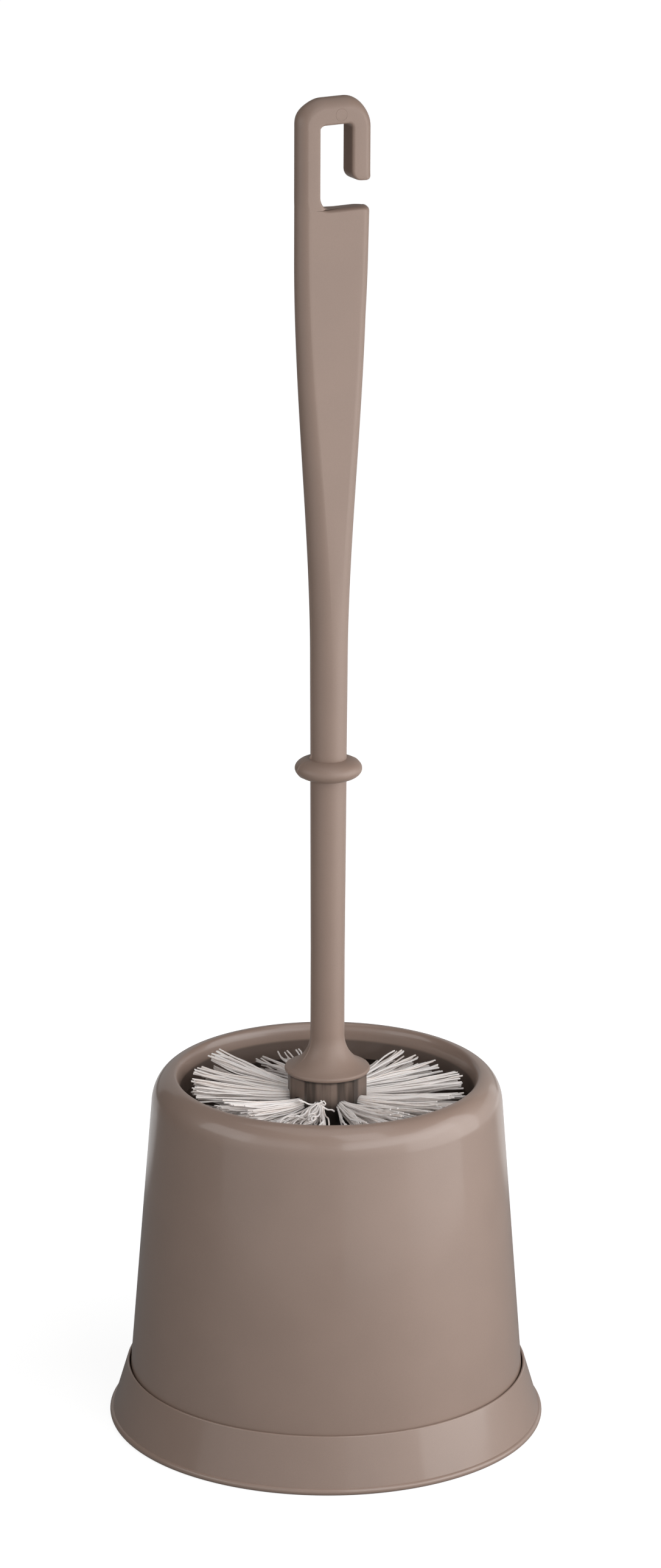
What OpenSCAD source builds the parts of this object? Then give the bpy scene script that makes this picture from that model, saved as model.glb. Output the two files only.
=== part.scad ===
// Toilet brush and holder.
// A flared foot carries a tapered cup with a rolled rim, and the brush stands
// in the cup on the tips of its end tufts. The handle is one moulding: a hook,
// a flat blade that turns into a round shaft, a drip ring and a bell. Its
// spigot is pressed into the brush core, and every tuft is folded into its own
// socket in the core and held there by a short square wire.
// Millimetres, Z up. The origin is at the centre of the foot's underside, the
// handle's flat faces look along -Y and +Y, and the hook opens towards +X.

/* [Foot] */
// How far the bead stands out beyond the band's top edge
foot_flare = 5.2; // [4:0.1:8]
// Height of the flared band's top edge
band_h = 16.5; // [13:0.5:20]
// Thickness of the band's top edge
band_edge_t = 0.8; // [0.6:0.1:1.2]
// Thickness of the band at its bottom
band_t = 1.7; // [1.4:0.1:2.2]
// Gap between the band's top edge and the cup's wall
band_gap = 0.4; // [0.3:0.05:0.6]
// Radius of the bead around the bottom of the foot
bead_r = 1; // [0.8:0.1:1.2]
// Width of the flat ring that the foot stands on
foot_ring_w = 3.6; // [3:0.2:5]
// Height of the floor's underside above the surface
floor_lift = 1.2; // [0.8:0.1:2]
// Thickness of the floor
floor_t = 2; // [1.6:0.1:2.6]
// Height of the ring that centres the cup on the floor
collar_h = 8; // [5:0.5:9]
// Thickness of that ring
collar_t = 1.8; // [1.4:0.1:2.4]
// Clearance between that ring and the cup's wall
collar_clear = 0.15; // [0.1:0.05:0.3]

/* [Cup] */
// Height of the rim's crest above the surface
cup_h = 107.3; // [100:0.5:115]
// Outside diameter of the wall at the band's top edge
wall_low_d = 117.2; // [115:0.2:119]
// Outside diameter of the wall where the rim starts to roll over
wall_top_d = 104.2; // [102:0.2:106]
// Thickness of the cup's wall
wall_t = 1.6; // [1.3:0.1:1.7]
// Width of the rim's roll outside its crest
roll_w = 6.6; // [6:0.1:7]
// Height of the rim's roll outside its crest
roll_h = 9.3; // [8:0.1:11]
// Width of the rim's roll inside its crest
lip_w = 1.8; // [1.8:0.1:2.6]
// Height of the rim's roll inside its crest
lip_h = 4.5; // [3.5:0.1:5]
// Depth of the skirt that turns down inside the rim
skirt_h = 6; // [4:0.5:8]

/* [Handle] */
// Height of the hook's top above the surface
handle_top = 397.8; // [385:0.1:410]
// Thickness of the blade and the hook, front to back
blade_t = 7.4; // [7:0.1:8.4]
// Width of the blade at its broad end
blade_w = 21.8; // [20.6:0.2:23]
// How far the right edge leans out between the blade and the hook's leg
edge_lean = 0.9; // [0.5:0.1:1.4]
// Height at which the shaft starts to flatten into the blade
blade_low = 232; // [226:1:238]
// Height at which the blade reaches its full width
blade_high = 352; // [346:1:356]
// Diameter of the shaft where it meets the blade
shaft_top_d = 10.9; // [10.4:0.1:11.4]
// Diameter of the shaft at its waist above the bell
shaft_waist_d = 10.05; // [9.6:0.05:10.4]
// Height of the waist
waist_z = 146; // [140:1:154]

/* [Hook] */
// Height of the ledge below the hook's opening
ledge_z = 365.8; // [362:0.1:370]
// Radius of the ledge's outer corner
ledge_corner_r = 1.8; // [1.2:0.1:2.4]
// Width of the stem beside the hook's hole
stem_w = 6.7; // [6:0.1:7.4]
// Width of the hook's hole
hole_w = 8.6; // [8:0.1:9.4]
// Thickness of the bar over the hole
bar_t = 8.2; // [7.4:0.1:9]
// Height of the open gap between the leg's tip and the ledge
gap_h = 7.9; // [7:0.1:8.8]
// Radius of the fillet between ledge and stem
ledge_fillet_r = 1.8; // [1:0.1:2.2]
// Radius of the hole's two upper corners
hole_corner_r = 1; // [0.6:0.1:1.6]
// How much thinner the hook gets halfway round its outer corners
corner_cut = 0.4; // [0:0.1:1]
// Radius of the rounded tip's inner corner
tip_r = 2.4; // [1.8:0.1:2.6]
// Radius of its outer corner and of its long edges
tip_edge_r = 1; // [0.6:0.1:1.6]
// How far the ledge rises from the hole to its outer end
ledge_rise = 0.6; // [0.1:0.1:1]

/* [Drip ring and bell] */
// Height of the drip ring's centre
ring_z = 201.3; // [196:0.5:208]
// Diameter across the drip ring
ring_d = 19.7; // [18:0.1:21]
// Height of the drip ring
ring_h = 5.9; // [5:0.1:6.6]
// Height of the bell's flat underside
bell_z = 108.2; // [107:0.1:110]
// Diameter across the bell's lip
bell_d = 25.3; // [24.8:0.1:26.4]
// Thickness of the bell's lip
lip_t = 1.5; // [1.2:0.1:2]
// Radius of the sweep from the shaft into the bell
bell_sweep_r = 10.5; // [9.5:0.1:11]
// Diameter of the spigot that fits the core
spigot_d = 9; // [8:0.1:9.6]
// Length of the spigot
spigot_l = 18; // [14:0.5:22]

/* [Brush head] */
// Diameter across the core's corners
core_d = 23.8; // [23.4:0.1:24.4]
// Radial clearance between the spigot and its socket in the core
spigot_clear = 0.05; // [0.02:0.01:0.1]
// Extra depth of that socket below the spigot's end
socket_relief = 1; // [0.5:0.1:2]
// Number of tuft columns around the core
columns = 10; // [10]
// Number of tuft rows along the core
rows = 5; // [3:1:5]
// Distance from the bell's underside down to the top row
first_row_drop = 8; // [6:0.1:9]
// Distance between rows
row_pitch = 12.8; // [12.6:0.1:13.2]
// Number of end tufts around the middle one
end_ring_count = 6; // [4:1:6]
// Slope of the end facets, in degrees from the core's axis
end_slope = 45; // [42:1:50]
// Half width of the core's flat end
end_flat_r = 2.8; // [2.6:0.1:3]

/* [Tufts] */
// Room between the side tufts' tips and the cup's mouth
mouth_room = 3.65; // [3:0.05:6]
// Diameter of a tuft where it leaves its socket
root_d = 4; // [3.8:0.1:4.2]
// Diameter of a side tuft at its tips
tip_d = 12.2; // [11:0.1:12.2]
// Diameter of an end tuft at its tips
end_tip_d = 14; // [12:0.2:15]
// Depth of a tuft's socket
tuft_depth = 3.4; // [3:0.1:3.5]
// Radial clearance of a tuft in its socket
tuft_clear = 0.05; // [0.03:0.01:0.08]
// Width of the square wire that holds a tuft
anchor_w = 0.8; // [0.6:0.05:0.9]
// Length of that wire
anchor_l = 3.6; // [3.2:0.1:3.8]
// Room between the end tufts' tips and the floor
tip_room = 0.3; // [0.2:0.05:0.5]

/* [Hidden] */
plastic = "#8d786b";
bristle = "#f3ece6";
wire = "#b9b4a6";

// Number of steps in a rounded edge and in a long sweep
arc_steps = 12;
sweep_steps = 18;
// Number of steps around a corner of the handle's cross-section and along its
// blade, and the angle between cross-sections where the handle turns or rounds
corner_steps = 7;
blade_steps = 16;
turn_step = 9;
round_step = 15;
eps = 0.01;

// Foot and cup
floor_top = floor_lift + floor_t;
foot_r = wall_low_d / 2 + band_gap + band_edge_t + foot_flare;
roll_z = cup_h - roll_h;
wall_lean = atan((wall_low_d - wall_top_d) / 2 / (roll_z - band_h));
wall_run = wall_t / cos(wall_lean);
roll_reach = norm([roll_w * cos(wall_lean), roll_h * sin(wall_lean)]) / cos(wall_lean);
crest_r = wall_top_d / 2 - roll_reach;
mouth_r = crest_r - lip_w;
roll_start = atan(roll_h / roll_w * tan(wall_lean));

function wall_r(z) = wall_top_d / 2 + (roll_z - z) * tan(wall_lean);
function inner_wall_r(z) = wall_r(z) - wall_run;

// Handle
half_blade = blade_w / 2;
// The long edges of blade and hook are fully rounded
edge_r = blade_t / 2;
leg_x = half_blade + edge_lean;
lean_run = 17;
lean_from = blade_high - lean_run;
hole_left = stem_w - half_blade;
hole_right = hole_left + hole_w;
hole_top = handle_top - bar_t;
leg_w = leg_x - hole_right;
tip_z = ledge_z + gap_h;
spigot_end = bell_z - spigot_l;
ledge_slope = ledge_rise / hole_w;
// The blade's round end lies this far inside the shaft's surface, and a slimmer
// tail of it reaches down into the shaft
flush_step = 0.04;
tail_l = 3;
tail_inset = 0.6;
// Number of the blade's last steps over which it tilts to the ledge's slope
tilt_steps = 3;
// Angle by which the bell's sweep reaches into its lip
sweep_overlap = 4;
blade_r = shaft_top_d / 2 - flush_step;

function blend(t) = let (u = min(1, max(0, t))) u * u * (3 - 2 * u);
function mix(a, b, t) = a + (b - a) * t;
function along_blade(z) = blend((z - blade_low) / (blade_high - blade_low));
function left_w(z) = mix(blade_r, half_blade, along_blade(z));
function right_w(z) = left_w(z) + edge_lean * min(1, max(0, (z - lean_from) / (tip_z - lean_from)));
function half_t(z) = mix(blade_r, edge_r, blend((z - blade_low) / (ledge_z - blade_low)));
// How far an edge of radius r has drawn in at height h above its end
function round_in(r, h) = h < r ? r - sqrt(r * r - (r - h) * (r - h)) : 0;

// Brush head
column_step = 360 / columns;
facet_r = core_d / 2 * cos(column_step / 2);
side_tuft_l = mouth_r - mouth_room - facet_r;
end_rise = (facet_r - end_flat_r) / tan(end_slope);
end_margin = 0.4;
core_end = bell_z - first_row_drop - (rows - 1) * row_pitch - end_rise - root_d / 2 - end_margin;
end_mid = (facet_r - end_flat_r) / sin(end_slope) / 2;
end_tuft_l = core_end - floor_top - tip_room;

function row_z(row) = bell_z - first_row_drop - (row - 1) * row_pitch;
function column_angle(col) = (col - 0.5) * column_step;
function tuft_name(row, col) = str("tuft_row", row, "_col", col);

$fn = 96;

// Points along an elliptical arc from angle a0 to angle a1
function arc(centre, rx, ry, a0, a1, steps = arc_steps) =
    [for (i = [0:steps]) let (a = mix(a0, a1, i / steps)) centre + [rx * cos(a), ry * sin(a)]];

// Foot: a dish with a flared band, a bead and a ring that centres the cup
module holder_base() {
    bead_x = foot_r - bead_r;
    band_in = wall_r(band_h) + band_gap;
    band_out = band_in + band_edge_t;
    edge_round = band_edge_t / 2;
    collar_low = inner_wall_r(floor_top) - collar_clear;
    collar_top = inner_wall_r(floor_top + collar_h) - collar_clear;
    color(plastic)
    rotate_extrude()
    polygon(concat(
        [[0, floor_lift], [bead_x - foot_ring_w, floor_lift], [bead_x - foot_ring_w, 0]],
        arc([bead_x, bead_r], bead_r, bead_r, -90, 90),
        arc([band_out - edge_round, band_h - edge_round], edge_round, edge_round, 20, 180),
        [
            [bead_x - band_t, floor_top],
            [collar_low, floor_top],
            [collar_top, floor_top + collar_h],
            [collar_top - collar_t, floor_top + collar_h],
            [collar_low - collar_t, floor_top],
            [0, floor_top]
        ]
    ));
}

// Cup: a tapered wall that rolls over at the rim and turns down inside
module holder_shell() {
    crest = [crest_r, roll_z];
    lip = [crest_r, cup_h - lip_h];
    skirt_z = cup_h - lip_h - skirt_h;
    color(plastic)
    rotate_extrude()
    polygon(concat(
        [[wall_r(floor_top), floor_top]],
        arc(crest, roll_w, roll_h, roll_start, 90, sweep_steps),
        arc(lip, lip_w, lip_h, 90, 180),
        [[mouth_r, skirt_z], [mouth_r + wall_t, skirt_z]],
        arc(lip, lip_w - wall_t, lip_h - wall_t, 180, 90),
        arc(crest, roll_w - wall_t, roll_h - wall_t, 90, roll_start, sweep_steps),
        [[inner_wall_r(floor_top), floor_top]]
    ));
}

// A cross-section of the handle: a rectangle with rounded corners. It stands at
// [x, z] in the front view, turned clockwise by the angle turn, and reaches from
// x0 to x1 across the handle and y to either side. It tilts by slope about Y.
function section(x, z, x0, x1, y, r, turn = 0, slope = 0) =
    let (q = min(r, (x1 - x0) / 2 - eps, y - eps))
    [
        for (c = [[x1 - q, y - q, 0], [x0 + q, y - q, 90], [x0 + q, q - y, 180], [x1 - q, q - y, 270]])
        for (i = [0:corner_steps])
        let (a = c[2] + i * 90 / corner_steps, u = c[0] + q * cos(a))
        [x + u * cos(turn), c[1] + q * sin(a), z - u * sin(turn) + u * slope]
    ];

// A solid through cross-sections that all have the same number of points
module loft(sections) {
    n = len(sections[0]);
    last = len(sections) - 1;
    sides = [
        for (k = [0:last - 1], i = [0:n - 1])
        let (j = (i + 1) % n)
        each [
            [k * n + i, (k + 1) * n + i, (k + 1) * n + j],
            [k * n + i, (k + 1) * n + j, k * n + j]
        ]
    ];
    polyhedron(
        points = [for (s = sections) each s],
        faces = concat([[for (i = [0:n - 1]) i]], sides, [[for (i = [n - 1:-1:0]) last * n + i]]),
        convexity = 4
    );
}

// A cross-section where the hook turns by the angle a around a corner of its
// hole: the first corner leads from the stem to the bar, the second to the leg
function hook_turn(a, first) =
    let (side_w = first ? stem_w : leg_w, t = blend(first ? a / 90 : 2 - a / 90))
    let (w = mix(side_w, bar_t, t) - corner_cut * abs(sin(2 * a)), reach = hole_corner_r + w / 2)
    let (x = first ? hole_left + hole_corner_r : hole_right - hole_corner_r)
    section(x - reach * cos(a), hole_top - hole_corner_r + reach * sin(a),
        -w / 2, w / 2, edge_r, edge_r, turn = a);

// The blade and the hook as one run of cross-sections: up the blade, over the
// ledge's rounded corner, up the stem, around the bar and down the leg to its tip
module blade_and_hook() {
    rise_top = ledge_z - ledge_corner_r - ledge_rise;
    stem_x = hole_left - stem_w / 2;
    stem_z = ledge_z + ledge_slope * (hole_left + ledge_fillet_r);
    tail_r = blade_r - tail_inset;
    tail = [section(0, blade_low - tail_l, -tail_r, tail_r, tail_r, tail_r)];
    rise = [
        for (k = [0:blade_steps])
        let (z = mix(blade_low, rise_top, k / blade_steps))
        let (tilt = ledge_slope * blend((k - blade_steps + tilt_steps) / tilt_steps))
        section(0, z, -left_w(z), right_w(z), half_t(z), half_t(z), slope = tilt)
    ];
    ledge = [
        for (a = [0:round_step:90])
        let (h = ledge_corner_r * (1 - sin(a)), z = ledge_z - h)
        section(0, z, -half_blade, right_w(z) - round_in(ledge_corner_r, h), half_t(z), half_t(z),
            slope = ledge_slope)
    ];
    fillet = [
        for (a = [0:round_step:90])
        section(stem_x, stem_z + ledge_fillet_r * (1 - cos(a)),
            -stem_w / 2, stem_w / 2 + ledge_fillet_r * (1 - sin(a)), edge_r, edge_r)
    ];
    left_turn = [for (a = [0:turn_step:90]) hook_turn(a, true)];
    right_turn = [for (a = [90:turn_step:180]) hook_turn(a, false)];
    tip = [
        for (a = [0:round_step:90])
        let (h = tip_r * (1 - sin(a)))
        section(leg_x - leg_w / 2, tip_z + h, round_in(tip_edge_r, h) - leg_w / 2,
            leg_w / 2 - round_in(tip_r, h), edge_r - round_in(tip_edge_r, h), edge_r, turn = 180)
    ];
    loft(concat(tail, rise, ledge, fillet, left_turn, right_turn, tip));
}

// Shaft, drip ring, bell and spigot, turned about the handle's axis
module turned_shaft() {
    shaft_r = shaft_top_d / 2;
    waist_r = shaft_waist_d / 2;
    ring_r = mix(waist_r, shaft_r, (ring_z - waist_z) / (blade_low - waist_z));
    lip_x = bell_d / 2 - lip_t / 2;
    sweep_end = acos((bell_sweep_r + waist_r - lip_x) / bell_sweep_r);
    sweep_top = bell_z + lip_t + bell_sweep_r * sin(sweep_end);
    rotate_extrude()
    polygon(concat(
        [[0, spigot_end], [spigot_d / 2, spigot_end], [spigot_d / 2, bell_z]],
        arc([lip_x, bell_z + lip_t / 2], lip_t / 2, lip_t / 2, -90, 60),
        arc([waist_r + bell_sweep_r, sweep_top], bell_sweep_r, bell_sweep_r,
            180 + sweep_end - sweep_overlap, 180, sweep_steps),
        [[waist_r, waist_z]],
        arc([ring_r, ring_z], ring_d / 2 - ring_r, ring_h / 2, -90, 90, sweep_steps),
        [[shaft_r, blade_low], [0, blade_low]]
    ));
}

module handle() {
    color(plastic)
    union() {
        turned_shaft();
        blade_and_hook();
    }
}

// Places its children at a side tuft's root, with Z along the tuft
module at_side_root(row, col) {
    rotate(column_angle(col))
    translate([facet_r, 0, row_z(row)])
    rotate([0, 90, 0])
    children();
}

// Places its children at the root of an end tuft in the ring
module at_end_root(i) {
    rotate((i - 0.5) * 360 / end_ring_count)
    translate([end_flat_r + end_mid * sin(end_slope), 0, core_end + end_mid * cos(end_slope)])
    rotate([0, 180 - end_slope, 0])
    children();
}

// Places its children at the middle end tuft's root
module at_end_middle() {
    translate([0, 0, core_end]) rotate([180, 0, 0]) children();
}

module at_every_root() {
    for (row = [1:rows], col = [1:columns]) at_side_root(row, col) children();
    for (i = [1:end_ring_count]) at_end_root(i) children();
    at_end_middle() children();
}

// A tuft of bristles, from the wire that holds it out to its cut tips
module tuft(length, tips_d) {
    stub = tuft_depth - anchor_w;
    color(bristle) {
        translate([0, 0, -stub]) cylinder(d = root_d, h = stub + eps);
        cylinder(d1 = root_d, d2 = tips_d, h = length);
    }
}

// The core: a ten-sided bar with a socket for every tuft and one for the handle
module brush_core() {
    color(plastic)
    difference() {
        translate([0, 0, core_end])
        cylinder(d = core_d, h = bell_z - core_end, $fn = columns);
        for (i = [1:end_ring_count])
        at_end_root(i) translate([-core_d, -core_d, 0]) cube(2 * core_d);
        at_every_root()
        translate([0, 0, -tuft_depth])
        cylinder(d = root_d + 2 * tuft_clear, h = tuft_depth + 1);
        translate([0, 0, spigot_end - socket_relief])
        cylinder(d = spigot_d + 2 * spigot_clear, h = spigot_l + socket_relief + 1);
    }
}

// The square wires at the bottom of the tufts' sockets
module tuft_anchors() {
    color(wire)
    at_every_root()
    translate([-anchor_w / 2, -anchor_l / 2, -tuft_depth])
    cube([anchor_w, anchor_l, anchor_w]);
}

module end_tufts() {
    for (i = [1:end_ring_count]) at_end_root(i) tuft(end_tuft_l, end_tip_d);
    at_end_middle() tuft(end_tuft_l, end_tip_d);
}

holder_base();
holder_shell();
handle();
brush_core();
tuft_anchors();
end_tufts();
for (row = [1:rows], col = [1:columns])
at_side_root(row, col) tuft(side_tuft_l, tip_d);
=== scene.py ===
"""A toilet brush and its holder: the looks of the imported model.

The holder is a tapered cup on a flared foot. The brush is one moulded handle
with a hook, a drip ring and a bell, a ten-sided core and its bristle tufts.
"""
import math

import bpy
import numpy as np
from bpy.props import FloatProperty, FloatVectorProperty, IntProperty, PointerProperty
from mathutils import Matrix, Vector


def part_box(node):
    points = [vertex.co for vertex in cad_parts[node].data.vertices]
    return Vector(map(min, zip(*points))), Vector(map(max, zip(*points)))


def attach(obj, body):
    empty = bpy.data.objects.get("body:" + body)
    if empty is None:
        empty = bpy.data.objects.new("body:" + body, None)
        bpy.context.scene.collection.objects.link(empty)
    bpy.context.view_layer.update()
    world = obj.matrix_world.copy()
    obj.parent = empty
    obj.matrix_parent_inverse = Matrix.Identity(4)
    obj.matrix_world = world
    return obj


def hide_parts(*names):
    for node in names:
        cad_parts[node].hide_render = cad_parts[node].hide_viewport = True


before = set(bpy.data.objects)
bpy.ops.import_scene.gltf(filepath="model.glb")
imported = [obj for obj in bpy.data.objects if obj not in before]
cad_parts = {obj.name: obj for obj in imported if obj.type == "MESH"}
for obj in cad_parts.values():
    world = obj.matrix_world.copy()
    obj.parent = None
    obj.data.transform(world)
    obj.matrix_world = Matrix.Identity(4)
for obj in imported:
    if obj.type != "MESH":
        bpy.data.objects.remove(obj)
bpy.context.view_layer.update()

bl_info = {
    "name": "Toilet Brush and Holder",
    "version": (1, 0, 0),
    "blender": (4, 5, 0),
    "location": "3D View > Sidebar > Brush Set",
    "description": "Builds a toilet brush in its holder over the packed model",
    "category": "Object",
}

MM = 0.001
# Lengths under this count as none
TINY = 1e-6
SHELL_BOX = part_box("holder_shell")
BASE_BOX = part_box("holder_base")
HANDLE_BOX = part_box("handle")
CORE_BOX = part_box("brush_core")
END_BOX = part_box("end_tufts")
SIDE_TUFTS = sorted(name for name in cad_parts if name.startswith("tuft_row"))
SHARP_ANGLE = math.radians(38)
GOLDEN_ANGLE = math.pi * (3 - math.sqrt(5))
ROUND_STEPS = 192
COLUMNS = 10
END_RING = 6


# Settings


def length(name, description, size):
    """A length setting, with its default in millimetres."""
    return FloatProperty(
        name=name, description=description, default=size * MM, unit="LENGTH", precision=5
    )


def fraction(name, description, value):
    """A setting from 0 to 1."""
    return FloatProperty(
        name=name, description=description, default=value, min=0, max=1, subtype="FACTOR"
    )


def angle(name, description, degrees):
    """An angle setting, with its default in degrees."""
    return FloatProperty(
        name=name, description=description, default=math.radians(degrees), subtype="ANGLE"
    )


def colour(name, description, value):
    """A colour setting, in linear red, green and blue."""
    return FloatVectorProperty(
        name=name, description=description, default=value, size=3, min=0, max=1, subtype="COLOR"
    )


class FootSettings(bpy.types.PropertyGroup):
    """Sizes of the dish that the cup stands in."""

    band_gap: length("Band gap", "Gap between the band's top edge and the cup", 0.4)
    band_edge: length("Band edge", "Thickness of the band's top edge", 0.8)
    band_thickness: length("Band thickness", "Thickness of the band at its bottom", 1.7)
    bead_radius: length("Bead radius", "Radius of the bead at the foot's bottom", 1)
    ring_width: length("Ring width", "Width of the flat ring that the foot stands on", 3.6)
    floor_lift: length("Floor lift", "Height of the floor's underside", 1.2)
    floor_thickness: length("Floor thickness", "Thickness of the floor", 2)
    collar_height: length("Collar height", "Height of the ring that centres the cup", 8)
    collar_thickness: length("Collar thickness", "Thickness of that ring", 1.8)
    collar_clearance: length("Collar clearance", "Room between that ring and the wall", 0.15)


class CupSettings(bpy.types.PropertyGroup):
    """Sizes of the tapered cup."""

    wall_low: length("Wall radius, low", "Outer radius at the band's top edge", 58.6)
    wall_top: length("Wall radius, top", "Outer radius where the rim starts to roll", 52.1)
    wall_thickness: length("Wall thickness", "Thickness of the wall", 1.6)
    roll_width: length("Roll width", "Width of the rim's roll outside its crest", 6.6)
    roll_height: length("Roll height", "Height of the rim's roll outside its crest", 9.3)
    lip_width: length("Lip width", "Width of the rim's roll inside its crest", 1.8)
    lip_height: length("Lip height", "Height of the rim's roll inside its crest", 4.5)
    skirt: length("Skirt", "Depth of the skirt that turns down inside the rim", 6)


class HandleSettings(bpy.types.PropertyGroup):
    """Sizes of the handle's blade, hook, shaft, drip ring and bell."""

    thickness: length("Thickness", "Thickness of blade and hook, front to back", 7.4)
    blade_width: length("Blade width", "Width of the blade at its broad end", 21.8)
    edge_lean: length("Edge lean", "How far the right edge leans out below the leg", 0.9)
    lean_run: length("Lean run", "Length below the blade's full width where it starts", 17)
    blade_low: length("Blade start", "Height where the shaft starts to flatten", 232)
    blade_high: length("Blade full", "Height where the blade has its full width", 352)
    shaft_radius: length("Shaft radius", "Radius of the shaft below the blade", 5.45)
    waist_radius: length("Waist radius", "Radius of the shaft's waist", 5.025)
    waist_height: length("Waist height", "Height of the waist", 146)
    ledge_height: length("Ledge height", "Height of the ledge below the hook", 366)
    ledge_rise: length("Ledge rise", "How far the ledge rises over the hole's width", 0.35)
    ledge_corner: length("Ledge corner", "Radius of the ledge's outer corner", 1.8)
    ledge_inset: length("Ledge inset", "How far the ledge draws in, front and back", 2.4)
    ledge_drop: length("Ledge drop", "Height over which it draws in", 0.9)
    stem_width: length("Stem width", "Width of the stem beside the hook's hole", 6.4)
    hole_width: length("Hole width", "Width of the hook's hole", 9.7)
    bar_thickness: length("Bar thickness", "Thickness of the bar over the hole", 7.6)
    gap: length("Gap", "Height of the open gap between leg and ledge", 7.7)
    ledge_fillet: length("Ledge fillet", "Radius of the fillet between ledge and stem", 3.6)
    hole_corner: length("Hole corner", "Radius of the hole's upper corners", 1.4)
    hole_edge: length("Hole edge", "Radius of the hook's edges beside the hole", 0.9)
    bar_tilt: FloatProperty(
        name="Bar tilt", description="How far the bar rises for its length", default=0.035
    )
    corner_swell: length("Corner swell", "How much the hook swells round its first corner", 0.25)
    corner_cut: length("Corner cut", "How much thinner it gets round its second corner", 0.3)
    shoulder: length("Shoulder", "How far the stem stands out below its corner", 0.2)
    tip_radius: length("Tip radius", "Radius of the tip's inner corner", 2.9)
    tip_edge: length("Tip edge", "Radius of the tip's outer corner", 1)
    ring_height: length("Ring height", "Height of the drip ring's centre", 201.3)
    ring_radius: length("Ring radius", "Radius of the drip ring", 9.85)
    ring_thickness: length("Ring thickness", "Height of the drip ring itself", 5.9)
    bell_height: length("Bell height", "Height of the bell's flat underside", 108.2)
    bell_radius: length("Bell radius", "Radius of the bell's lip", 12.65)
    lip_thickness: length("Lip thickness", "Thickness of the bell's lip", 1.5)
    sweep_radius: length("Sweep radius", "Radius of the sweep into the bell", 10.5)
    spigot_radius: length("Spigot radius", "Radius of the spigot in the core", 4.5)
    parting_ridge: length("Parting ridge", "Height of the mould's parting line", 0.13)
    parting_width: length("Parting width", "Half width of the parting line", 0.2)
    mark_radius: length("Mark radius", "Radius of the round mark on the hook", 1.75)
    crease: angle("Crease", "Angle between a flat and its rounded edge", 14)


class BristleSettings(bpy.types.PropertyGroup):
    """How the bristles of each tuft lie."""

    per_tuft: IntProperty(
        name="Bristles", description="Number of bristles in a side tuft", default=52, min=1
    )
    clumps: IntProperty(
        name="Clumps", description="Number of clumps in a tuft", default=13, min=1
    )
    clumping: fraction("Clumping", "How far the bristles' tips draw together in clumps", 0.54)
    radius: length("Bristle radius", "Radius of one bristle", 0.26)
    root_radius: length("Root radius", "Radius of a tuft in its socket", 1.75)
    fan: length("Fan", "Half width of a side tuft at its tips", 11.5)
    depth: length("Depth", "Half height of a side tuft at its tips", 4)
    end_fan: length("End fan", "Half width of an end tuft at its tips", 6.6)
    embed: length("Embed", "How far the bristles reach into their socket", 2.4)
    waviness: length("Waviness", "How far a bristle wanders from a straight line", 0.38)
    trim: length("Trim", "How unevenly the tips are cut", 0.8)
    seed: IntProperty(name="Seed", description="Start of the random numbers", default=7)


class FinishSettings(bpy.types.PropertyGroup):
    """Colours and surfaces."""

    plastic: colour("Plastic", "Colour of the moulded plastic", (0.298, 0.212, 0.171))
    # The core is a little darker than the handle's plastic of its own, and darker still as
    # painted shade for a core deep among the bristles
    core: colour("Core", "Colour of the brush's core", (0.135, 0.098, 0.079))
    bristle: colour("Bristle", "Colour of the bristles", (0.97, 0.935, 0.92))
    bristle_shade: colour("Bristle shade", "Warm tone of some bristles", (0.9, 0.79, 0.72))
    wire: colour("Wire", "Colour of the wires in the core", (0.6, 0.58, 0.54))
    plastic_roughness: fraction("Plastic roughness", "Roughness of the moulded plastic", 0.45)
    core_roughness: fraction("Core roughness", "Roughness of the core", 0.42)
    holder_skin: fraction("Holder skin", "How much smooth skin lies over cup and foot", 0.6)
    # Painted shade: how light the inside of the cup is painted, beside its outside
    inside_painted_shade: fraction("Inside painted shade", "How light the cup is inside, beside its outside", 0.42)
    skin_roughness: fraction("Skin roughness", "Roughness of that skin", 0.13)
    grain: length("Grain", "Size of the moulded grain", 0.35)
    grain_depth: length("Grain depth", "Depth of the moulded grain", 0.012)
    patch: length("Flow patches", "Size of the plastic's flow patches", 20)


class StageSettings(bpy.types.PropertyGroup):
    """Floor, lights and camera."""

    floor: colour("Floor", "Colour of the floor", (0.3, 0.3, 0.3))
    camera_azimuth: angle("Camera azimuth", "Direction that the camera looks from", -24)
    camera_pitch: angle("Camera pitch", "How far the camera looks down", 16.48)
    camera_roll: angle("Camera roll", "How far the camera is turned about its axis", 0.23)
    camera_distance: length("Camera distance", "Distance from the handle, level", 1494.2)
    camera_height: length("Camera height", "Height of the camera above the floor", 638.4)
    shift: FloatProperty(
        name="Shift", description="Sideways shift of the view, as a share of its height",
        default=0.00136,
    )
    lens: FloatProperty(
        name="Lens", description="Focal length in millimetres, on a 36 mm side", default=122.81
    )


class BrushSet(bpy.types.PropertyGroup):
    """All settings of the brush and its holder."""

    foot: PointerProperty(type=FootSettings, name="Foot", description="The foot's sizes")
    cup: PointerProperty(type=CupSettings, name="Cup", description="The cup's sizes")
    handle: PointerProperty(type=HandleSettings, name="Handle", description="The handle's sizes")
    bristles: PointerProperty(type=BristleSettings, name="Bristles", description="The bristles")
    finish: PointerProperty(type=FinishSettings, name="Finish", description="Colours")
    stage: PointerProperty(type=StageSettings, name="Stage", description="Floor and camera")


# Outlines and meshes


def mix(a, b, t):
    """The value at share t of the way from a to b."""
    return a + (b - a) * t


def smooth(t):
    """0 to 1 with a soft start and end."""
    t = min(1, max(0, t))
    return t * t * (3 - 2 * t)


def arc(centre, rx, ry, start, end, steps=16):
    """Points along an elliptical arc, from start to end degrees."""
    angles = [math.radians(mix(start, end, i / steps)) for i in range(steps + 1)]
    return [(centre[0] + rx * math.cos(a), centre[1] + ry * math.sin(a)) for a in angles]


def straight(start, end, steps):
    """Points between start and end, without the ends."""
    return [
        (mix(start[0], end[0], i / steps), mix(start[1], end[1], i / steps))
        for i in range(1, steps)
    ]


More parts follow.
